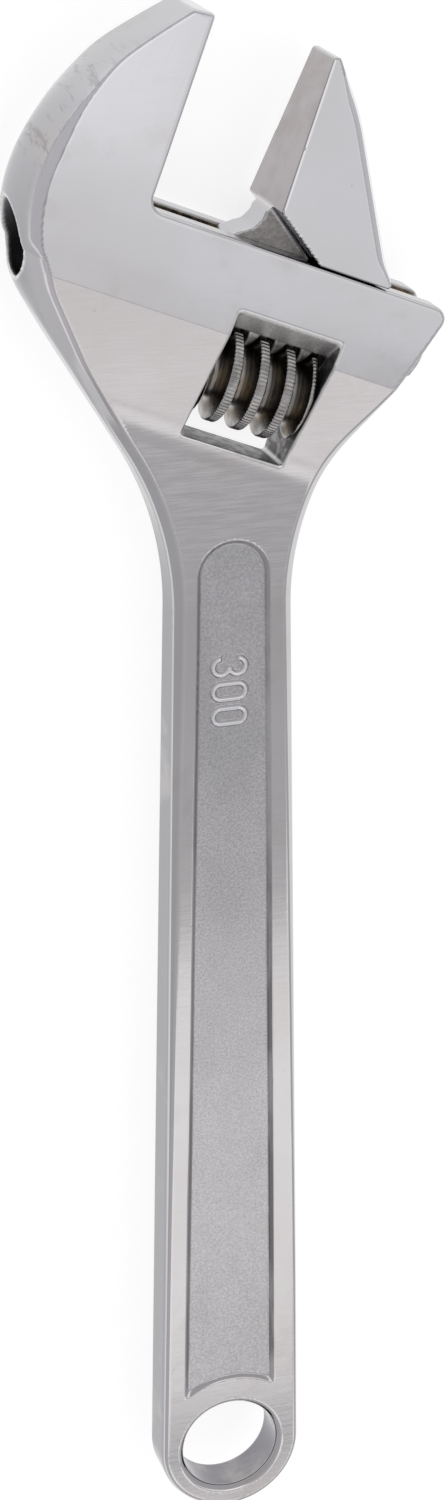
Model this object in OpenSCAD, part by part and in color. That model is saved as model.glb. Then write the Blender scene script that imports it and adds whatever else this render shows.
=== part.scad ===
// Adjustable wrench of the 300 mm size, shown with its jaws part open.
// The origin is the centre of the hanging hole at half thickness. +Y runs along the handle to the
// jaws and +Z is the upper face. Head features are drawn in the slide frame: its origin is the throat
// corner, its x axis runs along the lips in the direction the jaw opens, its y axis points at the tips.

/* [Handle] */
// Radius of the round end of the handle
end_radius = 14.3; // [14:0.1:15]
// Thickness of the handle
handle_thickness = 10; // [9.6:0.1:10.6]
// Width that each side of the handle loses per millimetre towards the head
side_slope = 0.0155; // [0.013:0.0005:0.018]
// Diameter of the hanging hole
hanging_hole_d = 19.6; // [17:0.2:20]
// Depth of the sunk panel in each face
panel_depth = 0.6; // [0.3:0.1:0.8]
// Radius of the round upper end of the panel
panel_top_radius = 7; // [6.6:0.1:7.2]

/* [Head] */
// Angle of the lips to a line square across the handle
head_angle = 22.2; // [22:0.1:22.5]
// Thickness of the head at the lips
head_thickness = 20.8; // [20.4:0.2:21.2]
// Distance of the throat corner from the handle's centre line
throat_offset = 17.3; // [17:0.1:17.6]
// Distance of the throat corner from the hanging hole, along the handle
throat_height = 257.3; // [256:0.1:258]
// Height of the jaw faces above the lips
jaw_height = 34.5; // [33.5:0.5:35]
// Thickness of the fixed jaw at its tip
fixed_tip_thickness = 14; // [13:0.5:15]
// Length of the lips from the throat corner to their right end
lip_length = 60.8; // [60.4:0.1:61.2]

/* [Movable jaw] */
// Opening between the jaw faces as drawn
opening = 23.4; // [23:0.1:23.8]
// Thickness of the movable jaw at its tip
movable_tip_thickness = 11.5; // [11:0.5:13]
// Thickness of the web that runs in the slot
web_thickness = 8; // [7.8:0.1:8]
// Radius of the round slide bar
bar_radius = 6; // [5.96:0.01:6]
// Length of the slide bar
bar_length = 54; // [53:0.5:54.5]

/* [Knurl] */
// Radius over the knurl's thread
crest_radius = 9.63; // [9.5:0.01:9.63]
// Radius of the knurl's core
root_radius = 5.6; // [5.4:0.1:5.6]
// Advance of the thread in one turn
pitch = 5.26; // [5.2:0.02:5.3]
// Radius of the pin that the knurl turns on
pin_radius = 2.4; // [2.3:0.1:2.5]

/* [Hidden] */
$fn = 96;

beyond = 1;
far = 400;
lip_z = head_thickness / 2;
handle_z = handle_thickness / 2;

// Slide channel
channel_depth = 13.4;
channel_radius = 6.05;
slot_width = 8.2;
bar_left_end = -15.4;
bar_flat = 4.8;

// Knurl and its window
knurl_depth = 24;
window_left = 22.4;
window_right = 42.9;
window_bottom = -36.6;
window_top = -15.5;
bevel_top = -11.6;
bevel_z = 5.7;
knurl_start = 22.75;
knurl_end = 42.35;
knurl_chamfer = 0.8;
crest_start = 25.23;
crest_width = 1.7;
thread_base_width = 3.6;
rack_clearance = 0.3;
knurl_bore_radius = pin_radius + 0.06;
spring_pocket_radius = 4.2;
spring_pocket_depth = 5;

// Pin
pin_tip = 15.5;
pin_head_radius = 3.2;
pin_head_start = 47.5;
pin_head_end = 52.5;
pin_slot_width = 0.9;
pin_slot_depth = 1.2;

// Spring
spring_wire_radius = 0.35;
spring_radius = 3.35;
spring_turns = 4;

// Sunk panel and the size figures on its floor
panel_top = 187;
panel_bottom = 10;
panel_foot_half_width = 9.45;
hole_boss_radius = 15.8;
figure_height = 7.2;
figure_width = 3.9;
figure_stroke = 0.9;
figure_pitch = 4.9;
figure_raise = 0.4;
figure_centre = [-0.9, 164.4];

// Points of an arc that rounds the corner between two lines
function unit(v) = v / norm(v);
function corner_arc(before, corner, after, radius) =
    let (a = unit(before - corner), b = unit(after - corner))
    let (half = acos(a * b) / 2)
    let (centre = corner + unit(a + b) * radius / sin(half))
    let (turn = 180 - 2 * half, steps = max(1, ceil(turn / 4)))
    let (start = corner + a * radius / tan(half) - centre)
    let (side = sign(a.x * b.y - a.y * b.x))
    [for (i = [0:steps]) let (t = -side * turn * i / steps)
        centre + [start.x * cos(t) - start.y * sin(t), start.x * sin(t) + start.y * cos(t)]];

// Closed outline from [corner, radius] pairs, where a radius of 0 keeps the corner sharp
function rounded(corners) = let (n = len(corners))
    [for (i = [0:n - 1])
        for (point = corners[i][1] == 0 ? [corners[i][0]]
            : corner_arc(corners[(i + n - 1) % n][0], corners[i][0], corners[(i + 1) % n][0], corners[i][1]))
            point];

// A point of the slide frame in the frame of the part
function from_slide(p) = [
    -throat_offset + p.x * cos(head_angle) + p.y * sin(head_angle),
    throat_height - p.x * sin(head_angle) + p.y * cos(head_angle)];

// Where the straight sides of the handle would meet the slanted sides of the neck
neck_left = [-11.25, 196.7];
neck_right = [11.23, 198.05];

body_outline = rounded([
    [[end_radius, 0], 0],
    [neck_right, 52],
    [from_slide([lip_length, 0]), 2.2],
    [from_slide([0, 0]), 2.5],
    [from_slide([0, jaw_height]), 0.6],
    [from_slide([-4.2, jaw_height - 0.4]), 1.5],
    [from_slide([-13.3, 23.7]), 50],
    [from_slide([-22.7, 7.5]), 33],
    [from_slide([-22.7, -15.3]), 27.5],
    [neck_left, 60],
    [[-end_radius, 0], 0]]);

// Half of the body's side view in the slide frame: distance along the tips' direction, then height
side_view = [
    [jaw_height + beyond, fixed_tip_thickness / 2 - 0.1],
    [jaw_height, fixed_tip_thickness / 2],
    [0, lip_z],
    [-16.3, lip_z],
    [-37.5, handle_z],
    [-300, handle_z]];

module in_slide_frame() {
    translate([-throat_offset, throat_height, 0]) rotate(-head_angle) children();
}

// A rod along the slide frame's x axis, at a depth below the lips
module slide_rod(radius, from, to, depth) {
    translate([from, -depth, 0]) rotate([0, 90, 0]) cylinder(r = radius, h = to - from);
}

// A side-view outline, given as [y, z] points of the slide frame, drawn from one x to another
module across_slide(outline, from, to) {
    translate([from, 0, 0]) rotate([90, 0, 90]) linear_extrude(to - from) polygon(outline);
}

module both_faces() {
    children();
    mirror([0, 0, 1]) children();
}

function half_turned(outline) = [for (i = [len(outline) - 1:-1:0]) [outline[i].x, -outline[i].y]];

// A long wedge that bevels the upper and lower edges of a side running from a to b.
// The bevel starts at height low on the side and rises by rise over inset.
module edge_bevel(a, b, low, inset, rise) {
    along = norm(b - a);
    heading = atan2(b.y - a.y, b.x - a.x);
    reach = 2;
    top = lip_z + beyond;
    both_faces() translate([a.x, a.y, 0]) rotate(heading) rotate([90, 0, 90])
        translate([0, 0, -0.2]) linear_extrude(along + 0.4)
            polygon([
                [-reach, low - rise * reach / inset],
                [-reach, top],
                [inset * (top - low) / rise, top]]);
}

module panel_outline() {
    difference() {
        union() {
            translate([0, panel_top]) circle(panel_top_radius);
            polygon([
                [-panel_foot_half_width, panel_bottom],
                [panel_foot_half_width, panel_bottom],
                [panel_top_radius, panel_top],
                [-panel_top_radius, panel_top]]);
        }
        circle(hole_boss_radius);
    }
}

module long_ring(width, height) {
    difference() {
        union() {
            for (s = [-1, 1]) translate([0, s * (height - width) / 2]) circle(width / 2);
            square([width, height - width], center = true);
        }
        union() {
            for (s = [-1, 1]) translate([0, s * (height - width) / 2]) circle(width / 2 - figure_stroke);
            square([width - 2 * figure_stroke, height - width], center = true);
        }
    }
}

module figure_zero() {
    long_ring(figure_width, figure_height);
}

module figure_three() {
    bowl = figure_height / 4 + figure_stroke / 4;
    for (s = [-1, 1])
        translate([0, s * (bowl - figure_stroke / 2)]) difference() {
            circle(bowl);
            circle(bowl - figure_stroke);
            translate([-bowl - beyond, -s * bowl - (1 - s) * beyond / 2])
                square([bowl + beyond, bowl + beyond]);
        }
}

// The wrench's nominal length in millimetres, reading down the upper face of the handle
module size_figures() {
    translate(figure_centre) rotate(-90) {
        translate([-figure_pitch, 0]) figure_three();
        figure_zero();
        translate([figure_pitch, 0]) figure_zero();
    }
}

module hanging_hole() {
    radius = hanging_hole_d / 2;
    cylinder(r = radius, h = far, center = true);
    both_faces() translate([0, 0, handle_z - 0.8])
        cylinder(r1 = radius, r2 = radius + 1, h = 0.8 + beyond);
}

module sunk_panels() {
    floor_z = handle_z - panel_depth;
    difference() {
        both_faces() translate([0, 0, floor_z]) linear_extrude(lip_z) panel_outline();
        translate([0, 0, floor_z - beyond]) linear_extrude(figure_raise + beyond) size_figures();
    }
}

module window() {
    translate([window_left, window_bottom, -far / 2])
        cube([window_right - window_left, window_top - window_bottom, far]);
    for (face = [1, -1])
        across_slide([
            [window_top - beyond, face * bevel_z],
            [window_top, face * bevel_z],
            [bevel_top, face * lip_z],
            [bevel_top, face * (lip_z + beyond)],
            [window_top - beyond, face * (lip_z + beyond)]], window_left, window_right);
}

// Outline of the slot for the jaw's web, whose left end clears the web when the jaws are closed
slot_outline = [
    [-10.6, -channel_depth],
    [-5.8, 0.1],
    [-2.3, 2.6],
    [-1.3, 4],
    [-1.2, 5.9],
    [0, 7.2],
    [80, 7.2],
    [80, -channel_depth]];

module channel() {
    slide_rod(channel_radius, -40, 80, channel_depth);
    linear_extrude(slot_width, center = true) polygon(slot_outline);
}

module pin_holes() {
    slide_rod(pin_radius, pin_tip, 60, knurl_depth);
    slide_rod(pin_head_radius, pin_head_start, 60, knurl_depth);
}

// The slanted facet down the left side of the neck
module neck_bevel() {
    edge_bevel(from_slide([-17.3, -18.1]), neck_left + [-7, 11.6], 4, 4.4, 6.4);
}

module handle_bevels() {
    top = 176;
    foot = 30;
    for (side = [-1, 1]) {
        low = [side * (end_radius - side_slope * foot), foot];
        high = [side * (end_radius - side_slope * top), top];
        edge_bevel(side > 0 ? low : high, side > 0 ? high : low, handle_z - 1.7, 1.6, 1.7);
    }
}

module body() {
    color("silver") difference() {
        intersection() {
            linear_extrude(2 * lip_z, center = true) union() {
                polygon(body_outline);
                circle(end_radius);
            }
            in_slide_frame() across_slide(concat(side_view, half_turned(side_view)), -200, 200);
        }
        neck_bevel();
        handle_bevels();
        hanging_hole();
        sunk_panels();
        in_slide_frame() {
            window();
            channel();
            pin_holes();
        }
    }
}

// Outline of the full-thickness part of the movable jaw, from its contact face at x = 0
wing_outline = rounded([
    [[0, 6.7], 0],
    [[10.1, 0.25], 0],
    [[24.9, 0.25], 0.5],
    [[8.1, 28.2], 40],
    [[1.2, jaw_height + 0.4], 0.3],
    [[0, jaw_height], 0.3]]);

// Outline of the web that joins the jaw to its slide bar
web_outline = [
    [-8.5, -8.2],
    [-5.2, -0.1],
    [-1.7, 2.3],
    [-0.8, 4],
    [-0.7, 5.6],
    [0, 6.4],
    [5, 8],
    [21, 5],
    [24.6, 0.2],
    [26, -8.2]];

module jaw_profile() {
    root_z = 10.1;
    tip_z = movable_tip_thickness / 2;
    tip_y = jaw_height + 0.4;
    half = [
        [tip_y + beyond, tip_z - 0.12],
        [0, root_z]];
    across_slide(concat(half, half_turned(half)), -beyond, 30);
}

module movable_jaw() {
    color("lightgray") in_slide_frame() translate([opening, 0, 0]) {
        intersection() {
            linear_extrude(2 * lip_z, center = true) polygon(wing_outline);
            jaw_profile();
        }
        linear_extrude(web_thickness, center = true) polygon(web_outline);
        difference() {
            slide_rod(bar_radius, bar_left_end, bar_left_end + bar_length, channel_depth);
            translate([bar_left_end - beyond, -channel_depth - 2 * bar_radius, -bar_radius])
                cube([bar_length + 2 * beyond, 2 * bar_radius - bar_flat, 2 * bar_radius]);
            rack_gaps();
        }
    }
}

// Gaps in the bar's underside for the turns of the knurl's thread, leaning with the thread
module rack_gaps() {
    deep = knurl_depth - crest_radius - 0.35;
    foot = 20;
    lean = atan(pitch / (PI * (crest_radius + root_radius)));
    half_crest = crest_width / 2 + rack_clearance;
    flank = (thread_base_width - crest_width) / 2 / (crest_radius - root_radius);
    half_foot = half_crest + flank * (foot - deep);
    first = ceil((opening + bar_left_end - crest_start) / pitch);
    last = floor((opening + bar_left_end + bar_length - crest_start) / pitch) + 1;
    for (turn = [first:last])
        translate([crest_start + turn * pitch - opening, 0, 0]) rotate([0, lean, 0])
            linear_extrude(4 * bar_radius, center = true)
                polygon([
                    [-half_crest, -deep],
                    [half_crest, -deep],
                    [half_foot, -foot],
                    [-half_foot, -foot]]);
}

// The thread as a band swept round the knurl's axis, which here is the z axis
module knurl_thread() {
    steps = 36;
    lead_in = 1;
    turns = (knurl_end - knurl_start) / pitch + 2 * lead_in;
    count = ceil(turns * steps);
    start = crest_start - pitch * ceil((crest_start - knurl_start) / pitch + lead_in);
    buried = root_radius - 0.5;
    half_base = thread_base_width / 2 + 0.2;
    half_crest = crest_width / 2;
    section = [
        [buried, -half_base],
        [crest_radius, -half_crest],
        [crest_radius, half_crest],
        [buried, half_base]];
    points = [
        for (i = [0:count], corner = section)
            let (angle = 360 * i / steps)
            [corner.x * cos(angle), corner.x * sin(angle), start + pitch * i / steps + corner.y]];
    sides = [
        for (i = [0:count - 1], k = [0:3])
            let (a = 4 * i + k, b = 4 * i + (k + 1) % 4)
            each [[a, b, b + 4], [a, b + 4, a + 4]]];
    last = 4 * count;
    ends = [[2, 1, 0], [3, 2, 0], [last, last + 1, last + 2], [last, last + 2, last + 3]];
    polyhedron(points, concat(sides, ends));
}

// Places a shape drawn round the z axis on the knurl's axis. The shape's x axis turns to the tips'
// direction and its y axis to the upper face.
module on_knurl_axis() {
    in_slide_frame() translate([0, -knurl_depth, 0]) rotate([90, 0, 90]) children();
}

module knurl() {
    length = knurl_end - knurl_start;
    color("dimgray") on_knurl_axis() difference() {
        intersection() {
            union() {
                translate([0, 0, knurl_start]) cylinder(r = root_radius, h = length);
                knurl_thread();
            }
            rotate_extrude() polygon([
                [0, knurl_start],
                [crest_radius - knurl_chamfer, knurl_start],
                [crest_radius + beyond, knurl_start + knurl_chamfer + beyond],
                [crest_radius + beyond, knurl_end - knurl_chamfer - beyond],
                [crest_radius - knurl_chamfer, knurl_end],
                [0, knurl_end]]);
        }
        translate([0, 0, knurl_start - beyond]) cylinder(r = knurl_bore_radius, h = length + 2 * beyond);
        translate([0, 0, knurl_start - beyond])
            cylinder(r = spring_pocket_radius, h = spring_pocket_depth + beyond);
    }
}

module knurl_pin() {
    color("gray") on_knurl_axis() difference() {
        union() {
            translate([0, 0, pin_tip]) cylinder(r = pin_radius, h = pin_head_end - pin_tip);
            translate([0, 0, pin_head_start])
                cylinder(r = pin_head_radius, h = pin_head_end - pin_head_start);
        }
        translate([-pin_slot_width / 2, -far / 2, pin_head_end - pin_slot_depth])
            cube([pin_slot_width, far, pin_slot_depth + beyond]);
    }
}

module knurl_spring() {
    steps = 16;
    sides = 8;
    count = steps * spring_turns;
    from = window_left + spring_wire_radius;
    to = knurl_start + spring_pocket_depth - spring_wire_radius - 0.05;
    points = [
        for (i = [0:count], k = [0:sides - 1])
            let (angle = 360 * i / steps, around = 360 * k / sides)
            let (radius = spring_radius + spring_wire_radius * cos(around))
            [radius * cos(angle), radius * sin(angle),
                from + (to - from) * i / count + spring_wire_radius * sin(around)]];
    walls = [
        for (i = [0:count - 1], k = [0:sides - 1])
            let (a = sides * i + k, b = sides * i + (k + 1) % sides)
            each [[a, b, b + sides], [a, b + sides, a + sides]]];
    caps = [[for (k = [sides - 1:-1:0]) k], [for (k = [0:sides - 1]) sides * count + k]];
    color("slategray") on_knurl_axis() polyhedron(points, concat(walls, caps));
}

body();
movable_jaw();
knurl();
knurl_pin();
knurl_spring();
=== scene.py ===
import math

import bpy
import numpy as np
from mathutils import Matrix


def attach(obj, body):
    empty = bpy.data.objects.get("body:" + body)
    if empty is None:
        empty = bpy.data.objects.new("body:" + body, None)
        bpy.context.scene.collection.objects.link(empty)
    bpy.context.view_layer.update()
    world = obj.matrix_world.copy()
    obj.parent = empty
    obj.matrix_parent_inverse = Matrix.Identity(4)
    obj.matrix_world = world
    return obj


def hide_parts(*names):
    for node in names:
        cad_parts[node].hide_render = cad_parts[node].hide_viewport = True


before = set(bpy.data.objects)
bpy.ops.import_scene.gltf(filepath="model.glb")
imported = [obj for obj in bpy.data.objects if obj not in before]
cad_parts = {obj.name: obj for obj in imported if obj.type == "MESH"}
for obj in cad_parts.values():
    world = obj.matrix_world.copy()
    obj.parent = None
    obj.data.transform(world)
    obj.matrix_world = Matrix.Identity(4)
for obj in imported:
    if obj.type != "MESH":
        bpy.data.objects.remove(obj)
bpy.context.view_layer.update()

MM = 0.001
DIAGONAL = 0.7071  # makes the sum of two square distances a distance across a 45 degree chamfer

# depths are measured down from the lips, and places along them from the throat corner
HEAD_ANGLE = math.radians(22.2)
COS, SIN = math.cos(HEAD_ANGLE), math.sin(HEAD_ANGLE)
THROAT = (-17.3, 257.3)
OPENING = 23.4
CHANNEL_DEPTH = 13.4
KNURL_DEPTH = 24.0
PIN_RADIUS, PIN_TIP, PIN_HEAD = 2.4, 15.5, 47.5


# ---- fields with gradients ----

class Dual:
    """Values at many points, with their gradients there."""

    __array_ufunc__ = None

    def __init__(self, value, slope):
        self.value, self.slope = value, slope

    def __add__(self, other):
        if isinstance(other, Dual):
            return Dual(self.value + other.value, self.slope + other.slope)
        return Dual(self.value + other, self.slope)

    def __mul__(self, other):
        if isinstance(other, Dual):
            return Dual(self.value * other.value, self.slope * other.value + other.slope * self.value)
        return Dual(self.value * other, self.slope * other)

    __radd__ = __add__
    __rmul__ = __mul__

    def __neg__(self):
        return self * -1.0

    def __sub__(self, other):
        return self + -other

    def __rsub__(self, other):
        return -self + other


def value(x):
    return x.value if isinstance(x, Dual) else x


def slope(x):
    return x.slope if isinstance(x, Dual) else 0.0


def through(x, result, rate):
    """A function of x, given its result and its rate at each point."""
    return Dual(result, rate * x.slope) if isinstance(x, Dual) else result


def root(x):
    result = np.sqrt(np.maximum(value(x), 1e-9))
    return through(x, result, 0.5 / result)


def size(x):
    return through(x, np.abs(value(x)), np.sign(value(x)))


def length(a, b):
    return root(a * a + b * b)


def ramp(x, low, high):
    """Rises smoothly from 0 at low to 1 at high."""
    t = np.clip((value(x) - low) / (high - low), 0, 1)
    return through(x, t * t * (3 - 2 * t), 6 * t * (1 - t) / (high - low))


def above(x, low):
    """x - low where that is positive, and 0 elsewhere."""
    return through(x, np.maximum(value(x) - low, 0), (value(x) > low) * 1.0)


def blended(a, b, reach, sign):
    gap = value(a) - value(b)
    near = np.maximum(reach - np.abs(gap), 0)
    pick = np.maximum if sign > 0 else np.minimum
    result = pick(value(a), value(b)) + sign * near * near / (4 * reach)
    if not isinstance(a, Dual) and not isinstance(b, Dual):
        return result
    share = np.clip(0.5 + sign * gap / (2 * reach), 0, 1)
    return Dual(result, slope(a) * share + slope(b) * (1 - share))


def both(a, b, reach):
    """Where a and b are both solid, with the edge rounded over reach."""
    return blended(a, b, reach, 1)


def either(a, b, reach):
    """Where a or b is solid, with a fillet of that reach."""
    return blended(a, b, reach, -1)


def without(a, b, reach):
    return both(a, -b, reach)


class Outline:
    """Signed distance to a closed counter-clockwise outline of (x, y, radius) corners, negative inside."""

    def __init__(self, corners):
        corners = np.array(corners, float)
        count = len(corners)
        self.arcs, ends = [], []
        for i in range(count):
            here, radius = corners[i, :2], corners[i, 2]
            a = corners[i - 1, :2] - here
            b = corners[(i + 1) % count, :2] - here
            a, b = a / np.hypot(*a), b / np.hypot(*b)
            half = math.acos(np.clip(a @ b, -1, 1)) / 2
            turn = 1.0 if a[1] * b[0] - a[0] * b[1] > 0 else -1.0
            middle = (a + b) / np.hypot(*(a + b))
            ends.append((here + a * radius / math.tan(half), here + b * radius / math.tan(half)))
            self.arcs.append((here + middle * radius / math.sin(half), radius, -middle, math.sin(half), turn))
        self.lines = []
        for i in range(count):
            start, run = ends[i][1], ends[(i + 1) % count][0] - ends[i][1]
            if np.hypot(*run) > 1e-6:
                self.lines.append((start, run / np.hypot(*run), np.hypot(*run)))

    def __call__(self, x, y):
        px, py = value(x), value(y)
        best = np.full(np.broadcast(px, py).shape, 1e9)
        signed, gx, gy = best.copy(), np.zeros_like(best), np.zeros_like(best)
        for start, way, reach in self.lines:
            dx, dy = px - start[0], py - start[1]
            along, off = dx * way[0] + dy * way[1], dx * way[1] - dy * way[0]
            over = along - np.clip(along, 0, reach)
            far = np.hypot(off, over)
            near = far < best - 1e-9
            side = np.where(off > 0, 1.0, -1.0)
            scale = side / np.maximum(far, 1e-9)
            on = far < 1e-6
            best[near], signed[near] = far[near], (side * far)[near]
            gx[near] = np.where(on, way[1], (off * way[1] + over * way[0]) * scale)[near]
            gy[near] = np.where(on, -way[0], (over * way[1] - off * way[0]) * scale)[near]
        for centre, radius, middle, spread, turn in self.arcs:
            dx, dy = px - centre[0], py - centre[1]
            far = np.maximum(np.hypot(dx, dy), 1e-9)
            near = (dx * middle[0] + dy * middle[1] >= far * spread) & (np.abs(far - radius) < best - 1e-9)
            best[near] = np.abs(far - radius)[near]
            signed[near] = (turn * (far - radius))[near]
            gx[near], gy[near] = (turn * dx / far)[near], (turn * dy / far)[near]
        if isinstance(x, Dual) or isinstance(y, Dual):
            return Dual(signed, gx * slope(x) + gy * slope(y))
        return signed


# ---- the zero surface of a field, as quads ----

def surface(field, place, wrap=False):
    """(points, quads) of a field's zero surface.

    place gives the position of grid corners, and wrap closes the first axis.
    """
    cells = np.array(field.shape) - 1
    quads, crossings = [], []
    for axis in range(3):
        low, high = [slice(None)] * 3, [slice(None)] * 3
        low[axis], high[axis] = slice(None, -1), slice(1, None)
        a, b = field[tuple(low)], field[tuple(high)]
        at = np.array(np.nonzero((a < 0) != (b < 0)))
        if wrap and axis:
            at = at[:, at[0] < cells[0]]
        start, end = a[tuple(at)], b[tuple(at)]
        t = start / (start - end)
        after = at.copy()
        after[axis] += 1
        crossings.append(place(*at) * (1 - t) + place(*after) * t)
        u, v = (axis + 1) % 3, (axis + 2) % 3
        ring = []
        for du, dv in ((0, 0), (1, 0), (1, 1), (0, 1)):
            cell = at.copy()
            cell[u] -= du
            cell[v] -= dv
            if wrap:
                cell[0] %= cells[0]
            ring.append((cell[0] * cells[1] + cell[1]) * cells[2] + cell[2])
        ring = np.stack(ring, 1)
        quads.append(np.where((start < 0)[:, None], ring, ring[:, ::-1]))
    quads, crossings = np.concatenate(quads), np.concatenate(crossings, 1)
    index = np.unique(quads.ravel(), return_inverse=True)[1].ravel()
    count = np.bincount(index)
    points = np.array([np.bincount(index, np.repeat(c, 4)) for c in crossings]) / count
    return points, index.reshape(-1, 4)


LONGEST_STEP, LONGEST_WAY = 0.2, 0.5


def settle(points, solid):
    """Moves points onto the surface. Gives them with their normals and how much each lies on a rounded edge."""
    eye = np.eye(3)[:, :, None]

    def field_at(places):
        return solid(*(Dual(places[i], np.broadcast_to(eye[i], places.shape)) for i in range(3)))

    began = points
    for _ in range(4):
        f = field_at(points)
        steep = (f.slope ** 2).sum(0)
        step = np.clip(f.value / np.maximum(steep, 0.1), -LONGEST_STEP, LONGEST_STEP)
        points = points - f.slope * step
        points = began + np.clip(points - began, -LONGEST_WAY, LONGEST_WAY)
    f = field_at(points)
    # where an edge is rounded the gradient is shorter than 1
    steep = np.sqrt((f.slope ** 2).sum(0))
    return points, f.slope / np.maximum(steep, 1e-6), np.clip((1 - steep) / 0.25, 0, 1)


def steps(*spans):
    """Grid lines from (start, end, spacing) spans that follow one another."""
    lines = [np.array([spans[0][0]])]
    for start, end, spacing in spans:
        lines.append(np.linspace(start, end, max(2, round((end - start) / spacing) + 1))[1:])
    return np.concatenate(lines)


def built(name, points, faces, normals=None, masks=None):
    """A mesh object from arrays in millimetres."""
    mesh = bpy.data.meshes.new(name)
    mesh.vertices.add(points.shape[1])
    mesh.vertices.foreach_set("co", (points.T * MM).astype(np.float32).ravel())
    mesh.loops.add(faces.size)
    mesh.loops.foreach_set("vertex_index", faces.astype(np.int32).ravel())
    mesh.polygons.add(len(faces))
    mesh.polygons.foreach_set("loop_start", np.arange(0, faces.size, faces.shape[1], dtype=np.int32))
    mesh.polygons.foreach_set("use_smooth", np.ones(len(faces), bool))
    mesh.update(calc_edges=True)
    if normals is not None:
        mesh.normals_split_custom_set_from_vertices(normals.T)
    for key, mask in (masks or {}).items():
        mesh.attributes.new(key, "FLOAT", "POINT").data.foreach_set("value", mask.astype(np.float32))
    piece = bpy.data.objects.new(name, mesh)
    bpy.context.scene.collection.objects.link(piece)
    return piece


# ---- the body ----

def to_slide(x, y):
    """Along the lips in the opening direction, and up towards the tips, from the throat corner."""
    dx, dy = x - THROAT[0], y - THROAT[1]
    return dx * COS - dy * SIN, dx * SIN + dy * COS


def from_slide(p, q):
    return THROAT[0] + p * COS + q * SIN, THROAT[1] - p * SIN + q * COS


def row_normals(normals):
    """Normals in the slide's directions, turned to the row frame."""
    return np.array([normals[0] * COS + normals[1] * SIN, -normals[0] * SIN + normals[1] * COS, normals[2]])


BODY_OUTLINE = Outline([
    (14.52, -14.26, 14.25),
    (11.23, 198.05, 52),
    (*from_slide(60.8, 0), 2.2),
    (*from_slide(0, 0), 2.5),
    (*from_slide(0, 34.5), 0.6),
    (*from_slide(-4.2, 34.1), 1.5),
    (*from_slide(-13.3, 23.7), 50),
    (*from_slide(-22.7, 7.5), 33),
    (*from_slide(-22.7, -15.3), 27.5),
    (-11.25, 196.7, 60),
    (-14.52, -14.26, 14.25)])
SLOT_OUTLINE = Outline([
    (-10.6, -CHANNEL_DEPTH, 0.4),
    (80, -CHANNEL_DEPTH, 0.4),
    (80, 7.2, 0.4),
    (0, 7.2, 0.4),
    (-1.2, 5.9, 0.4),
    (-1.3, 4, 1.0),
    (-2.3, 2.6, 1.5),
    (-5.8, 0.1, 2.5)])
HOLE_RADIUS, BORE_RADIUS, SLOT_HALF = 9.8, 6.05, 4.1
LIP_HALF, HANDLE_HALF = 10.4, 4.76
TIP_TAPER, NECK_SLOPE, HANDLE_TAPER = 3.4 / 34.5, 0.2547, 0.0018
PANEL_TOP, PANEL_DEPTH = 187, 0.6
FIGURES_AT, FIGURES_HEIGHT = (-0.9, 164.4), 0.4
STROKE_HALF = 0.45
FACET_SLOPE, FACET_SCALE = 1.455, 0.5664
WINDOW_LEFT, WINDOW_RIGHT, WINDOW_TOP, WINDOW_FLOOR = 22.4, 42.9, 15.5, 36.6
HEAD_BORE = 3.25


def half_thickness(q, y):
    """Half the thickness of the body: tapered to the tip, full at the lips, sloped down to the handle."""
    head = either(LIP_HALF - q * TIP_TAPER, LIP_HALF, 1.1)
    neck = LIP_HALF + (q + 16.3) * NECK_SLOPE
    handle = HANDLE_HALF + y * HANDLE_TAPER
    return both(either(head, neck, 0.03), handle, 0.9)


def panel_edge(x, y):
    """Distance outside the sunk panel's outline."""
    beyond = above(y, PANEL_TOP)
    half_width = 9.6 - 0.0142 * (y - beyond)
    return both(length(x + 0.3, beyond) - half_width, 15.8 - length(x, y), 1.2)


def figure_edge(x, y):
    """Distance outside the strokes of the size figures, which read down the handle."""
    along, across = FIGURES_AT[1] - y, size(x - FIGURES_AT[0])
    bowl = size(length(along + 4.9, across - 1.575) - 1.575) - STROKE_HALF
    bowl = both(bowl, either(-(along + 4.9), 1.575 - across, 0.05), 0.05)
    rings = [size(length(along - shift, above(across, 1.65)) - 1.5) - STROKE_HALF for shift in (0, 4.9)]
    return either(bowl, either(*rings, 0.02), 0.02)


def body_plan(x, y):
    """What the body's field needs to know about each place seen from above."""
    p, q = to_slide(x, y)
    left = ramp(-p, 6, 12)
    back = 1.0 - 0.92 * ramp(q, 3, 24)
    deep = ramp(-q, 12, 34)
    grows = above(y, 36) - above(y, 184)
    handle = (0.2 + 0.0095 * grows) * deep
    return {
        "x": x, "y": y, "p": p, "q": q,
        "edge": BODY_OUTLINE(x, y),
        "slot": SLOT_OUTLINE(p, q),
        "half": half_thickness(q, y),
        "panel": panel_edge(x, y),
        "figure": figure_edge(x, y),
        "bulge": left * back * ramp(q, -32, -16),
        "chamfer": 0.3 + both(handle, left * back * 0.25, 0.1),
        "soft": 0.5 + 0.9 * value(left) * value(back),
        "mouth": 0.45 + 0.5 * value(ramp(-p, 9, 13)),
        "facet": 4.0 + 0.8 * above(q, -14) + 2.0 * above(x, -6),
    }


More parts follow.
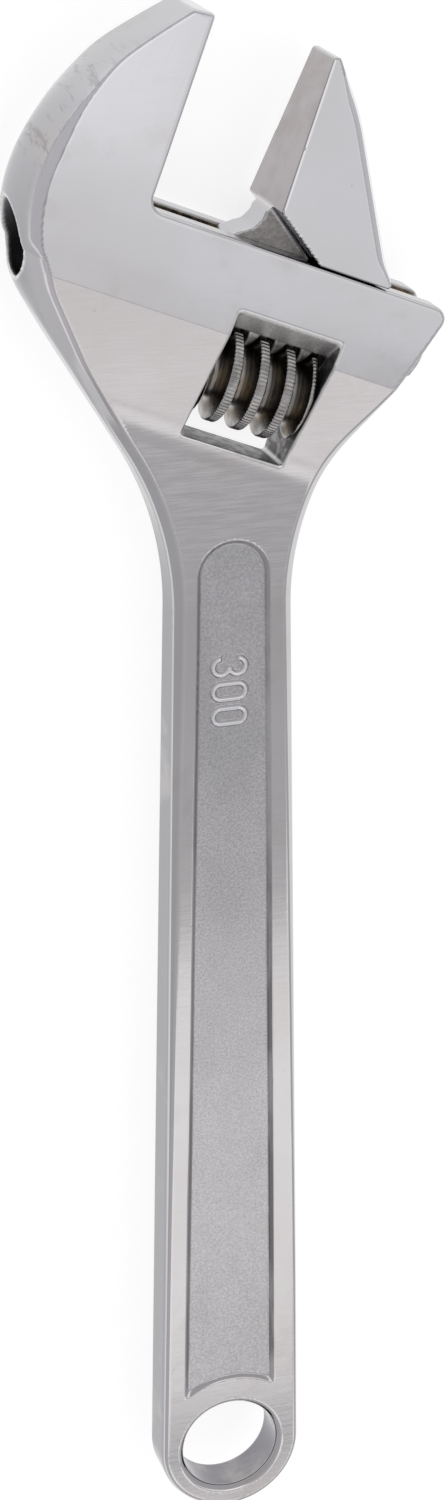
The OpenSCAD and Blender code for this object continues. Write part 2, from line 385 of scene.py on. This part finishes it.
def body_solid(plan, z):
    p, q, half, edge = plan["p"], plan["q"], plan["half"], plan["edge"]
    height = size(z)
    sunk = PANEL_DEPTH * ramp(-plan["panel"], -0.1, 0.9)
    raised = ramp(-plan["figure"], -0.22, 0.22) * ((value(z) > 0) * FIGURES_HEIGHT)
    side = edge + plan["bulge"] * z * z * (1 / 31)
    f = both(side, (side + height - half + plan["chamfer"]) * DIAGONAL, plan["soft"])
    f = both(f, height - half + sunk - raised, 0.35)
    f = both(f, (height - plan["facet"] + FACET_SLOPE * edge) * FACET_SCALE, 0.6)
    bore = length(q + CHANNEL_DEPTH, z) - BORE_RADIUS
    f = without(f, either(bore, both(height - SLOT_HALF, plan["slot"], 0.3), 0.3), plan["mouth"])
    top = q + WINDOW_TOP - 0.83 * above(height, 5.7)
    window = both(both(WINDOW_LEFT - p, p - WINDOW_RIGHT, 0.8), both(-WINDOW_FLOOR - q, top, 0.8), 0.9)
    f = without(f, window, 0.5)
    drill = length(q + KNURL_DEPTH, z)
    screw = either(both(drill - PIN_RADIUS, PIN_TIP - p, 0.2), both(drill - HEAD_BORE, PIN_HEAD - p, 0.2), 0.1)
    f = without(f, screw, 0.3)
    rim = length(plan["x"], plan["y"])
    f = without(f, rim - HOLE_RADIUS, 0.3)
    return without(f, (rim - HOLE_RADIUS - height + half - 0.9) * DIAGONAL, 0.3)


BEND_FROM, BEND_TO = 177.0, 209.0


def along_wrench(a, b):
    """Grid coordinates to the row frame: square to the handle low down, square to the lips in the head."""
    radius = (BEND_TO - BEND_FROM) / HEAD_ANGLE
    turned = np.clip(b - BEND_FROM, 0, BEND_TO - BEND_FROM) / radius
    beyond = np.maximum(b - BEND_TO, 0)
    narrow = 1 - 0.001084 * np.clip(b, 0, BEND_FROM)
    narrow = narrow + (1 - narrow) * np.clip((b - BEND_FROM) / 20, 0, 1)
    x = radius * (1 - np.cos(turned)) + beyond * np.sin(turned) + a * narrow * np.cos(turned)
    y = np.minimum(b, BEND_FROM) + radius * np.sin(turned) + beyond * np.cos(turned) - a * narrow * np.sin(turned)
    return x, y


def body_mesh():
    # columns across, rows along and levels up the thickness, closest together where there is most shape
    columns = steps((-64.4, -40.7, 0.44), (-40.7, -39.8, 0.18), (-39.8, -15.2, 0.44), (-15.2, 15.2, 0.38),
                    (15.2, 23.2, 0.44))
    rows = steps((-15.2, 18, 0.42), (18, 152, 0.85), (152, 177, 0.3), (177, 200, 0.5), (200, 229.0, 0.44),
                 (229.0, 229.6, 0.1), (229.6, 245.2, 0.44), (245.2, 246.0, 0.16), (246.0, 291, 0.44))
    levels = steps((-1.15, -0.72, 0.043), (-0.72, 0.72, 0.055), (0.72, 1.15, 0.043))
    a, b = np.meshgrid(columns, rows, indexing="ij")
    x, y = along_wrench(a, b)
    plan = {key: np.float32(part)[:, :, None] for key, part in body_plan(x, y).items()}
    rise = value(half_thickness(to_slide(x, y)[1], y))
    field = body_solid(plan, (rise[:, :, None] * levels).astype(np.float32))
    field = np.where(field == 0, np.float32(1e-6), field)
    points, quads = surface(field, lambda i, j, k: np.array([x[i, j], y[i, j], rise[i, j] * levels[k]]))
    points, normals, edge = settle(points, lambda x, y, z: body_solid(body_plan(x, y), z))
    px, py, pz = points
    p, q = to_slide(px, py)
    inner = -panel_edge(px, py)
    tilt = np.abs(normals[2])
    flat = ramp(tilt, 0.55, 0.9)
    floor = ramp(inner, 0.2, 1.0) * flat
    # painted shade along the panel's walls, strongest on the right, low on the handle
    wall_shade_strength = 0.5 + 0.5 * ramp(px, -1, 1) * ramp(150 - py, 0, 40)
    panel_wall_shade = ramp(inner, -0.2, 0.3) * ramp(1.1 - inner, 0, 0.5) * flat * ramp(py, 17, 22) * wall_shade_strength
    figure = ramp(-figure_edge(px, py), -0.15, 0.15) * (pz > 0)
    ground = ramp(-15.5 - q, 0, 1.0) * flat * (1 - floor)
    # the side faces are painted darker as painted shade, less of it towards the fixed jaw's tip
    low_side_shade = ramp(0.5 - tilt, 0, 0.12)
    head_side_shade = 0.8 * ramp(0.85 - tilt, 0, 0.45) * (1 - 0.8 * ramp(py, 236, 292))
    side = low_side_shade + (head_side_shade - low_side_shade) * ramp(py, 205, 225)
    # the head's chamfer flats get a painted highlight
    bevel = ramp(tilt, 0.56, 0.62) * ramp(0.95 - tilt, 0, 0.06) * ramp(py, 222, 240) * (edge < 1)
    handle = ramp(185 - py, 0, 8)
    scuff = ramp(py, 258, 268) * ramp(288 - py, 0, 8) * ramp(0.8 - tilt, 0, 0.2) * (p < -6)
    # the channel's bore and the slot, which the paint darkens as painted shade
    inside = np.maximum(
        ramp(6.6 - np.hypot(q + CHANNEL_DEPTH, pz), 0, 0.5),
        ramp(4.4 - np.abs(pz), 0, 0.3) * (p > -8) * (q < 7.5) * (q > -14) * (p < 59))
    # the window's walls; those that are not cast are painted dark as painted shade
    near = (p > 22.1) & (p < 43.2) & (q > -37) & (q < -11.3) & (tilt < 0.9)
    cast = near & (q > -15.7) & (tilt > 0.3)
    return built("wrench_body", points, quads, normals, {
        "edge": edge, "panel": floor, "panel_wall_shade": panel_wall_shade, "ground": ground, "figure": figure, "side": side,
        "handle": handle, "scuff": scuff, "bevel": bevel * (1 - inside) * (1 - near),
        "inside": inside, "drill": (p < -7.5) * inside, "window": near & ~cast, "cast": cast})


# ---- the movable jaw ----

WING_OUTLINE = Outline([
    (0, 6.7, 0.3),
    (10.1, 0.25, 0.5),
    (24.9, 0.25, 0.7),
    (8.1, 28.2, 40),
    (1.2, 34.9, 0.5),
    (0, 34.5, 0.3)])
WEB_OUTLINE = Outline([
    (-8.5, -8.2, 0.4),
    (26, -8.2, 0.5),
    (24.6, 0.2, 0.5),
    (21, 5, 0.5),
    (5, 8, 0.5),
    (0, 6.4, 0.4),
    (-0.7, 5.6, 0.4),
    (-0.8, 4, 1),
    (-1.7, 2.3, 2),
    (-5.2, -0.1, 3)])
PITCH = 5.26
CREST_RADIUS, CORE_RADIUS = 9.63, 5.6
CREST_START = 25.23
LEAN = math.atan(PITCH / (math.pi * (CREST_RADIUS + CORE_RADIUS)))
FLANK_SLOPE, FLANK_SCALE = 0.2357, 0.973
RACK_ROOT, RACK_CREST = 14.02, 18.2
BAR_RADIUS = 6.0
WING_HALF, WING_TAPER, WEB_HALF = 10.1, 4.35 / 34.9, 4.0


def repeated(x, pitch):
    """Distance from the nearest whole multiple of pitch."""
    return through(x, value(x) - np.round(value(x) / pitch) * pitch, 1.0)


def jaw_solid(j, q, z):
    """The movable jaw's field. j runs in the opening direction from its contact face."""
    height = size(z)
    half = WING_HALF - above(q, 0) * WING_TAPER
    edge = WING_OUTLINE(j, q)
    outer = ramp(j, 0.4, 6) * ramp(j + 0.6 * q, 14, 20) * ramp(q, 0.5, 5)
    wing = both(edge, (edge + height - half + 0.08 + 0.8 * outer) * DIAGONAL, 0.12 + 1.2 * value(outer))
    wing = both(wing, height - half, 0.12 + 1.0 * value(outer))
    web = both(WEB_OUTLINE(j, q), height - WEB_HALF, 0.35)
    bar = both(length(q + CHANNEL_DEPTH, z) - BAR_RADIUS, size(j - 11.6) - 27.0, 1.0)
    bar = both(bar, -RACK_CREST - q, 0.3)
    bar = both(bar, (j - 41.6 - 0.4 * q) * 0.93, 0.5)
    lean = repeated((j + OPENING - CREST_START) * math.cos(LEAN) - z * math.sin(LEAN), PITCH * math.cos(LEAN))
    teeth = q + RACK_ROOT
    gap = both((size(lean) - 1.15 + teeth * FLANK_SLOPE) * FLANK_SCALE, teeth, 0.5)
    bar = without(bar, either(gap, both(33.0 - j, teeth, 0.5), 0.3), 0.35)
    return either(either(wing, web, 0.7), bar, 0.8)


def jaw_mesh():
    across = steps((-16.4, 39.6, 0.4))
    up = steps((-19.4, -0.8, 0.38), (-0.8, 36, 0.42))
    levels = steps((-10.6, -3.2, 0.4), (-3.2, 3.2, 0.5), (3.2, 10.6, 0.4))
    j, q = (part[:, :, None] for part in np.meshgrid(across, up, indexing="ij"))
    shrink = 1 - np.maximum(q, 0) * WING_TAPER / WING_HALF
    z = shrink * levels
    field = jaw_solid(j, q, z)
    shrink = shrink[:, :, 0] + 0 * across[:, None]
    points, quads = surface(field, lambda a, b, c: np.array([across[a], up[b], shrink[a, b] * levels[c]]))
    points, normals, edge = settle(points, jaw_solid)
    j, q, z = points
    tilt = np.abs(normals[2])
    low = (WING_OUTLINE(j, q) > 0.25) * ramp(tilt, 0.4, 0.8)
    bar = ramp(-8.0 - q, 0, 0.8)
    contact = ramp(-normals[0], 0.9, 0.98) * (j < 0.3) * (q > 6)
    # the jaw's outer chamfer gets a painted highlight
    bevel = ramp(tilt, 0.5, 0.6) * ramp(0.985 - tilt, 0, 0.04) * (j > 3) * (q > 0)
    x, y = from_slide(j + OPENING, q)
    return built("sliding_jaw", np.array([x, y, z]), quads, row_normals(normals),
                 {"edge": edge, "web": low * (1 - bar), "bar": bar, "contact": contact, "bevel": bevel})


# ---- the knurl, its pin and its spring ----

KNURL_START, KNURL_END = 22.75, 42.35
KNURL_BORE, POCKET_RADIUS, POCKET_DEPTH = 2.46, 4.2, 5
TICKS, TICK_DEPTH = 84, 0.16


def knurl_solid(angle, s, radius):
    """The knurl's field round its axis: a threaded core with a bore, a spring pocket and fine cuts in the crests."""
    turn = repeated(s - CREST_START - angle * (PITCH / (2 * math.pi)), PITCH)
    cuts = through(angle, 0.5 - 0.5 * np.cos(TICKS * value(angle)), 0.5 * TICKS * np.sin(TICKS * value(angle)))
    crest = radius - CREST_RADIUS + TICK_DEPTH * cuts
    thread = both((size(turn) - 0.85 - (CREST_RADIUS - radius) * FLANK_SLOPE) * FLANK_SCALE, crest, 0.22)
    f = either(thread, radius - CORE_RADIUS, 1.0)
    end = size(s - (KNURL_START + KNURL_END) / 2) - (KNURL_END - KNURL_START) / 2
    f = both(f, end, 0.25)
    f = both(f, (end + radius - CREST_RADIUS + 0.8) * DIAGONAL, 0.2)
    f = without(f, radius - KNURL_BORE, 0.15)
    return without(f, both(radius - POCKET_RADIUS, s - KNURL_START - POCKET_DEPTH, 0.2), 0.25)


def round_knurl_axis(s, angle, radius):
    x, y = from_slide(s, radius * np.cos(angle) - KNURL_DEPTH)
    return np.array([x, y, radius * np.sin(angle)])


def knurl_mesh():
    angles = np.linspace(0, 2 * math.pi, TICKS * 4 + 1)
    along = steps((22.3, 42.8, 0.28))
    radii = steps((2.0, 6.6, 0.42), (6.6, 10, 0.3))
    angle, s, radius = (part for part in np.meshgrid(angles, along, radii, indexing="ij"))
    field = knurl_solid(angle, s, radius)
    field[-1] = field[0]
    points, quads = surface(field, lambda i, j, k: round_knurl_axis(along[j], angles[i], radii[k]), wrap=True)

    def solid(x, y, z):
        p, q = to_slide(x, y)
        q = q + KNURL_DEPTH
        radius = length(q, z)
        turn = np.arctan2(value(z), value(q))
        square = value(radius) ** 2
        angle = Dual(turn, (value(q) * slope(z) - value(z) * slope(q)) / square)
        return knurl_solid(angle, p, radius)

    points, normals, edge = settle(points, solid)
    p, q = to_slide(*points[:2])
    depth = 1 - np.clip((np.hypot(q + KNURL_DEPTH, points[2]) - CORE_RADIUS) / (CREST_RADIUS - CORE_RADIUS), 0, 1)
    return built("knurl_worm", points, quads, normals, {"edge": edge, "depth": depth})


def turned_mesh(name, solid, span, reach, spacing):
    """A piece on the knurl's axis, from a field of its place along the axis and its two offsets from it."""
    along, off = steps(span), steps((-reach, reach, spacing))
    field = solid(along[:, None, None], off[None, :, None], off[None, None, :])
    points, quads = surface(field, lambda i, j, k: np.array([along[i], off[j], off[k]]))
    points, normals, edge = settle(points, solid)
    x, y = from_slide(points[0], points[1] - KNURL_DEPTH)
    return built(name, np.array([x, y, points[2]]), quads, row_normals(normals), {"edge": edge})


def pin_solid(s, a, b):
    radius = length(a, b)
    shank = both(radius - PIN_RADIUS, PIN_TIP - s, 0.5)
    head = both(radius - 3.2, PIN_HEAD - s, 0.1)
    f = both(either(shank, head, 0.1), s - 52.5, 0.4)
    screw_slot = both(size(a) - 0.45, 51.3 - s, 0.1)
    return without(f, screw_slot, 0.15)


def spring_mesh():
    turns, wire, radius, ring, sides = 4, 0.35, 3.35, 48, 10
    start, end = 22.4 + wire, KNURL_START + POCKET_DEPTH - wire - 0.05
    count = turns * ring
    t = np.arange(count + 1) / ring * 2 * math.pi
    around = np.arange(sides) / sides * 2 * math.pi
    # the end coils lie flat, so the pitch eases in and out
    share = ramp(t / t[-1], 0.0, 1.0)
    r = radius + wire * np.cos(around)[None, :]
    s = (start + (end - start) * share)[:, None] + wire * np.sin(around)[None, :]
    x, y, z = round_knurl_axis(s, t[:, None] + 0 * r, r)
    points = np.array([x.ravel(), y.ravel(), z.ravel()])
    i, k = np.meshgrid(np.arange(count), np.arange(sides), indexing="ij")
    a, b = i * sides + k, i * sides + (k + 1) % sides
    walls = np.stack([a, a + sides, b + sides, b], -1).reshape(-1, 4)
    # each end of the wire is closed by a flat fan of quads over its last ring
    caps = []
    for base, flip in ((0, False), (count * sides, True)):
        for k in range(0, sides - 2, 2):
            quad = [base, base + k + 1, base + k + 2, base + k + 3]
            caps.append(quad[::-1] if flip else quad)
    return built("knurl_coil_spring", points, np.concatenate([walls, np.array(caps)]))


body = body_mesh()
jaw = jaw_mesh()
knurl = knurl_mesh()
pin = turned_mesh("knurl_pin_screw", pin_solid, (15.1, 52.9, 0.3), 3.6, 0.24)
spring = spring_mesh()


# ---- materials ----

class Paint:
    """A metal's shader graph. Colours and masks are worked out from the piece's own coordinates."""

    def __init__(self, name):
        self.material = bpy.data.materials.new(name)
        self.material.use_nodes = True
        self.nodes = self.material.node_tree.nodes
        self.shader = self.nodes["Principled BSDF"]
        self.shader.inputs["Metallic"].default_value = 1.0
        self.place = self.nodes.new("ShaderNodeTexCoord").outputs["Object"]

    def put(self, socket, source):
        if isinstance(source, bpy.types.NodeSocket):
            self.material.node_tree.links.new(source, socket)
        elif isinstance(source, tuple) and len(source) == 3 and socket.type == "RGBA":
            socket.default_value = (*source, 1)
        else:
            socket.default_value = source

    def math(self, operation, a, b=0.0):
        node = self.nodes.new("ShaderNodeMath")
        node.operation = operation
        self.put(node.inputs[0], a)
        self.put(node.inputs[1], b)
        return node.outputs[0]

    def mask(self, name):
        node = self.nodes.new("ShaderNodeAttribute")
        node.attribute_name = name
        return node.outputs["Fac"]

    def scaled(self, scale, turn=0.0):
        node = self.nodes.new("ShaderNodeMapping")
        self.put(node.inputs["Vector"], self.place)
        node.inputs["Scale"].default_value = scale
        if turn:
            first = self.nodes.new("ShaderNodeVectorRotate")
            first.rotation_type = "Z_AXIS"
            self.put(first.inputs["Vector"], self.place)
            first.inputs["Angle"].default_value = turn
            self.put(node.inputs["Vector"], first.outputs[0])
        return node.outputs[0]

    def noise(self, scale, detail=3.0, rough=0.55, turn=0.0):
        """Noise from about 0.25 to 0.75, with scale features a metre along each axis."""
        node = self.nodes.new("ShaderNodeTexNoise")
        self.put(node.inputs["Vector"], self.scaled(scale if isinstance(scale, tuple) else (scale,) * 3, turn))
        node.inputs["Scale"].default_value = 1.0
        node.inputs["Detail"].default_value = detail
        node.inputs["Roughness"].default_value = rough
        return node.outputs[0]

    def spots(self, scale, radius):
        """Scattered dots of that radius, in cells."""
        node = self.nodes.new("ShaderNodeTexVoronoi")
        self.put(node.inputs["Vector"], self.scaled((scale,) * 3))
        node.inputs["Scale"].default_value = 1.0
        return self.span(node.outputs["Distance"], radius, radius * 0.4)

    def span(self, x, low, high):
        """0 to 1 as x goes from low to high."""
        node = self.nodes.new("ShaderNodeMapRange")
        node.interpolation_type = "SMOOTHSTEP"
        self.put(node.inputs[0], x)
        node.inputs[1].default_value, node.inputs[2].default_value = low, high
        return node.outputs[0]

    def mix(self, share, a, b):
        node = self.nodes.new("ShaderNodeMix")
        colour = not isinstance(a, float) and not (isinstance(a, bpy.types.NodeSocket) and a.type == "VALUE")
        node.data_type = "RGBA" if colour else "FLOAT"
        slots = (6, 7, 2) if colour else (2, 3, 0)
        self.put(node.inputs[0], share)
        self.put(node.inputs[slots[0]], a)
        self.put(node.inputs[slots[1]], b)
        return node.outputs[slots[2]]

    def coats(self, colour, layers):
        """Lays (colour, mask, share) coats over a colour, one on another."""
        for over, mask, share in layers:
            colour = self.mix(self.math("MULTIPLY", mask, share), colour, over)
        return colour

    def bump(self, layers):
        """Stacks (height, depth in millimetres, share) bumps."""
        normal = None
        for height, depth, share in layers:
            node = self.nodes.new("ShaderNodeBump")
            self.put(node.inputs["Height"], height)
            self.put(node.inputs["Strength"], share)
            node.inputs["Distance"].default_value = depth * MM
            if normal is not None:
                self.put(node.inputs["Normal"], normal)
            normal = node.outputs[0]
        self.put(self.shader.inputs["Normal"], normal)

    def finish(self, colour, rough):
        self.put(self.shader.inputs["Base Color"], colour)
        self.put(self.shader.inputs["Roughness"], rough)
        return self.material


# EDGE_HIGHLIGHT is a painted highlight along the rounded edges
CHROME, EDGE_HIGHLIGHT, PIT = (0.560, 0.560, 0.580), (0.86, 0.86, 0.86), (0.12, 0.11, 0.10)


def chrome_body():
    m = Paint("chrome_over_forging")
    edge, panel, panel_wall_shade, ground = m.mask("edge"), m.mask("panel"), m.mask("panel_wall_shade"), m.mask("ground")
    inside, window, cast, side = m.mask("inside"), m.mask("window"), m.mask("cast"), m.mask("side")
    figure, drill, bevel, handle = m.mask("figure"), m.mask("drill"), m.mask("bevel"), m.mask("handle")
    patches = m.span(m.noise(28.0, 4.0), 0.35, 0.7)
    streaks = m.noise((35.0, 1300.0, 200.0), 4.0, 0.6)
    fine = m.noise((150.0, 4200.0, 900.0), 2.0)
    grain = m.noise(2300.0, 3.0, 0.65)
    speckle = m.span(grain, 0.3, 0.7)
    worn = m.span(m.noise((70.0, 40.0, 70.0), 4.0, 0.6), 0.35, 0.7)
    scratches = m.span(m.noise((2600.0, 60.0, 60.0), 2.0, 0.5, 0.5), 0.66, 0.74)
    pits = m.math("MULTIPLY", m.spots(170.0, 0.075), m.span(m.noise(60.0), 0.52, 0.64))
    stains = m.math("MULTIPLY", m.span(m.noise(46.0, 5.0, 0.6), 0.54, 0.7), m.math("SUBTRACT", 1.0, panel))
    scuffs = m.math("MULTIPLY", m.mask("scuff"), m.span(m.noise((900.0, 260.0, 120.0), 4.0, 0.65), 0.52, 0.64))
    debris_and_shade = m.span(m.noise(420.0, 4.0, 0.6), 0.42, 0.6)
    wall_shade_breakup = m.mix(m.span(m.noise((260.0, 38.0, 260.0), 4.0), 0.38, 0.56), 0.3, 1.0)
    blasted = m.mix(worn, m.mix(speckle, (0.36, 0.35, 0.36), (0.53, 0.52, 0.535)),
                    m.mix(speckle, (0.30, 0.295, 0.30), (0.46, 0.45, 0.46)))
    colour = m.coats(m.mix(patches, CHROME, (0.530, 0.520, 0.520)), [
        (m.mix(patches, (0.565, 0.548, 0.552), (0.530, 0.508, 0.510)), ground, 0.8),
        # painted shade on the side faces
        ((0.220, 0.213, 0.235), side, 0.85),
        ((0.480, 0.455, 0.445), stains, 0.6),
        ((0.30, 0.275, 0.27), scuffs, 0.6),
        # painted highlight on the chamfer flats
        (m.mix(patches, (0.80, 0.79, 0.83), (0.74, 0.72, 0.75)), bevel, 0.9),
        (blasted, panel, 0.75),
        # the raised figures' polished tops, painted brighter than the chrome as a painted highlight
        ((0.76, 0.75, 0.77), figure, 0.8),
        # painted shade along the panel's walls, broken up by noise
        ((0.11, 0.105, 0.10), panel_wall_shade, wall_shade_breakup),
        (m.mix(speckle, (0.70, 0.69, 0.67), (0.95, 0.94, 0.92)), cast, 1.0),
        # painted shade inside the window, mottled by noise
        (m.mix(debris_and_shade, (0.11, 0.105, 0.105), (0.34, 0.33, 0.33)), window, 0.95),
        # painted shade: the channel and slot are painted near black, mottled with brown oil residue; their drilled
        # end is painted dark grey, also painted shade
        (m.mix(debris_and_shade, (0.035, 0.028, 0.025), (0.17, 0.125, 0.08)), inside, 1.0),
        (m.mix(patches, (0.13, 0.125, 0.13), (0.085, 0.08, 0.08)), drill, 1.0),
        (PIT, pits, 0.7),
        # painted highlight along the rounded edges
        (EDGE_HIGHLIGHT, edge, 0.75),
    ])
    rough = m.mix(m.span(fine, 0.3, 0.7), m.mix(ground, 0.12, 0.10), m.mix(ground, 0.14, 0.19))
    rough = m.mix(m.math("MULTIPLY", handle, 0.6), rough, 0.05)
    rough = m.mix(panel, rough, 0.20)
    rough = m.mix(m.math("MAXIMUM", m.math("MAXIMUM", inside, window), cast), rough, 0.42)
    rough = m.math("ADD", rough, m.math("MULTIPLY", patches, 0.03))
    m.bump([
        (streaks, 0.010, m.math("MULTIPLY", ground, m.mix(handle, 0.8, 0.28))),
        (grain, 0.013, m.math("MAXIMUM", m.math("MAXIMUM", panel, cast), m.math("MAXIMUM", inside, window))),
        (m.noise(90.0, 3.0), 0.025, 0.5),
        (scratches, 0.004, 0.4),
        (m.math("SUBTRACT", 1.0, pits), 0.03, 0.8),
    ])
    return m.finish(colour, rough)


def chrome_jaw():
    m = Paint("chrome_over_milled_steel")
    edge, web, bar, contact = m.mask("edge"), m.mask("web"), m.mask("bar"), m.mask("contact")
    patches = m.span(m.noise(34.0, 4.0), 0.35, 0.7)
    streaks = m.noise((900.0, 60.0, 200.0), 4.0, 0.6, HEAD_ANGLE)
    fine = m.noise((3600.0, 160.0, 800.0), 2.0, 0.5, HEAD_ANGLE)
    grain = m.noise(1300.0, 3.0, 0.6)
    oil = m.span(m.noise(240.0, 4.0, 0.6), 0.4, 0.62)
    pits = m.math("MULTIPLY", m.spots(190.0, 0.07), m.span(m.noise(70.0), 0.54, 0.64))
    stain = m.mix(m.span(m.noise(150.0, 4.0), 0.35, 0.68), (0.43, 0.395, 0.405), (0.36, 0.325, 0.32))
    colour = m.coats(m.mix(patches, CHROME, (0.535, 0.525, 0.525)), [
        # painted highlight on the jaw's outer chamfer
        ((0.86, 0.85, 0.88), m.mask("bevel"), 0.9),
        (stain, contact, 0.9),
        (m.mix(m.span(grain, 0.2, 0.8), (0.17, 0.16, 0.15), (0.30, 0.285, 0.27)), web, 0.9),
        (m.mix(oil, (0.10, 0.08, 0.06), (0.46, 0.45, 0.43)), bar, 0.85),
        (PIT, pits, 0.7),
        # painted highlight along the rounded edges
        (EDGE_HIGHLIGHT, edge, 0.7),
    ])
    rough = m.mix(m.span(fine, 0.3, 0.7), 0.11, 0.15)
    rough = m.mix(m.math("MAXIMUM", web, bar), rough, 0.36)
    rough = m.mix(contact, rough, 0.3)
    m.bump([
        (streaks, 0.001, 0.6),
        (grain, 0.06, m.math("MAXIMUM", web, bar)),
        (m.noise(90.0, 3.0), 0.025, 0.5),
        (m.math("SUBTRACT", 1.0, pits), 0.03, 0.8),
    ])
    return m.finish(colour, rough)


def oiled_steel():
    m = Paint("oiled_machined_steel")
    edge, depth = m.mask("edge"), m.mask("depth")
    smear = m.noise(300.0, 4.0, 0.6)
    # the grooves between the threads are painted near black: oil, deepened as painted shade
    low = m.span(m.math("ADD", depth, m.math("MULTIPLY", smear, 0.6)), 0.35, 0.95)
    colour = m.mix(m.span(smear, 0.35, 0.65), (0.42, 0.41, 0.40), (0.26, 0.25, 0.24))
    oil = m.mix(m.span(m.noise(160.0), 0.4, 0.6), (0.06, 0.05, 0.04), (0.20, 0.14, 0.07))
    # the rounded edges get a painted highlight
    colour = m.coats(colour, [(oil, low, 0.88), ((0.72, 0.71, 0.70), edge, 0.5)])
    rough = m.mix(low, 0.20, 0.30)
    m.bump([
        (m.noise((700.0, 700.0, 700.0), 3.0), 0.03, 1.0),
        (m.noise(2200.0, 2.0), 0.012, 1.0),
    ])
    return m.finish(colour, rough)


def turned_steel(name, bright, dark, rough):
    m = Paint(name)
    smear = m.span(m.noise(380.0, 4.0, 0.6), 0.38, 0.62)
    colour = m.mix(smear, bright, dark)
    m.bump([(m.noise(2500.0, 3.0), 0.012, 1.0)])
    return m.finish(colour, m.mix(smear, rough, rough + 0.14))


def wear(piece, body_name, node, material):
    piece.data.materials.append(material)
    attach(piece, body_name)
    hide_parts(node)


wear(body, "body", "body", chrome_body())
wear(jaw, "jaw", "movable_jaw", chrome_jaw())
wear(knurl, "knurl", "knurl", oiled_steel())
wear(pin, "body", "knurl_pin",
     turned_steel("turned_pin_steel", (0.5, 0.49, 0.47), (0.26, 0.23, 0.2), 0.24))
wear(spring, "body", "knurl_spring",
     turned_steel("spring_wire_steel", (0.45, 0.45, 0.46), (0.2, 0.18, 0.16), 0.2))


# ---- stage ----

# the floor lies 0.05 mm below the wrench, whose half thickness is 10.4 mm
FLOOR_REACH, FLOOR_LEVEL = 6, -0.01045
floor_mesh = bpy.data.meshes.new("floor")
floor_mesh.from_pydata([(x * FLOOR_REACH, y * FLOOR_REACH, 0) for x, y in ((-1, -1), (1, -1), (1, 1), (-1, 1))],
                       [], [(0, 1, 2, 3)])
floor = bpy.data.objects.new("floor", floor_mesh)
floor.location = (0, 0, FLOOR_LEVEL)
bpy.context.scene.collection.objects.link(floor)
floor_paint = bpy.data.materials.new("floor_paint")
floor_paint.use_nodes = True
paint = floor_paint.node_tree.nodes["Principled BSDF"]
paint.inputs["Base Color"].default_value = (0.4, 0.4, 0.4, 1)
paint.inputs["Roughness"].default_value = 0.9
paint.inputs["Specular IOR Level"].default_value = 0.0
paint.inputs["Emission Color"].default_value = (1, 1, 1, 1)
paint.inputs["Emission Strength"].default_value = 0.78
floor_mesh.materials.append(floor_paint)


LAMP_HEIGHT = 2.0


def soft_box(name, low, high, radiance, colour):
    """A lamp that shines down, between two corners in metres."""
    data = bpy.data.lights.new(name, "AREA")
    data.shape = "RECTANGLE"
    data.size, data.size_y = high[0] - low[0], high[1] - low[1]
    data.energy = radiance * 4 * data.size * data.size_y
    data.color = colour
    light = bpy.data.objects.new(name, data)
    light.location = ((low[0] + high[0]) / 2, (low[1] + high[1]) / 2, LAMP_HEIGHT)
    bpy.context.scene.collection.objects.link(light)


soft_box("head_box", (0.0, -0.42), (1.7, 0.0), 0.38, (0.99, 0.99, 1))
soft_box("throat_box", (0.0, 0.0), (0.8, 0.1), 0.43, (1, 1, 1))
soft_box("root_box", (0.0, 0.1), (0.8, 0.18), 0.50, (1, 1, 1))
soft_box("tip_box", (0.0, 0.18), (0.8, 1.1), 0.58, (1, 1, 1))
soft_box("jaw_box", (0.8, 0.0), (1.7, 1.1), 0.35, (1, 1, 1))
soft_box("middle_box", (-0.4, -0.90), (1.6, -0.58), 0.05, (0.98, 0.97, 1))
soft_box("low_box", (-0.4, -1.38), (1.6, -0.90), 0.53, (1, 0.99, 0.97))
soft_box("neck_box", (-0.4, -2.3), (1.6, -1.47), 0.47, (1, 0.975, 0.95))

world = bpy.data.worlds.new("studio")
world.use_nodes = True
world.node_tree.nodes["Background"].inputs["Color"].default_value = (0.98, 0.975, 1.0, 1)
world.node_tree.nodes["Background"].inputs["Strength"].default_value = 0.56
bpy.context.scene.world = world
bpy.context.scene.view_settings.view_transform = "Standard"

# the camera was fitted to the wrench's outline in the photograph
camera_data = bpy.data.cameras.new("camera")
camera = bpy.data.objects.new("camera", camera_data)
bpy.context.scene.collection.objects.link(camera)
camera_data.sensor_width = 36
camera_data.lens = 83.50
camera_data.clip_start, camera_data.clip_end = 0.05, 50
camera.matrix_world = Matrix((
    (0.9519, 0.1154, -0.2838, -0.1853),
    (0.0028, 0.9230, 0.3847, 0.4012),
    (0.3063, -0.3670, 0.8783, 0.5716),
    (0, 0, 0, 1)))
bpy.context.scene.camera = camera
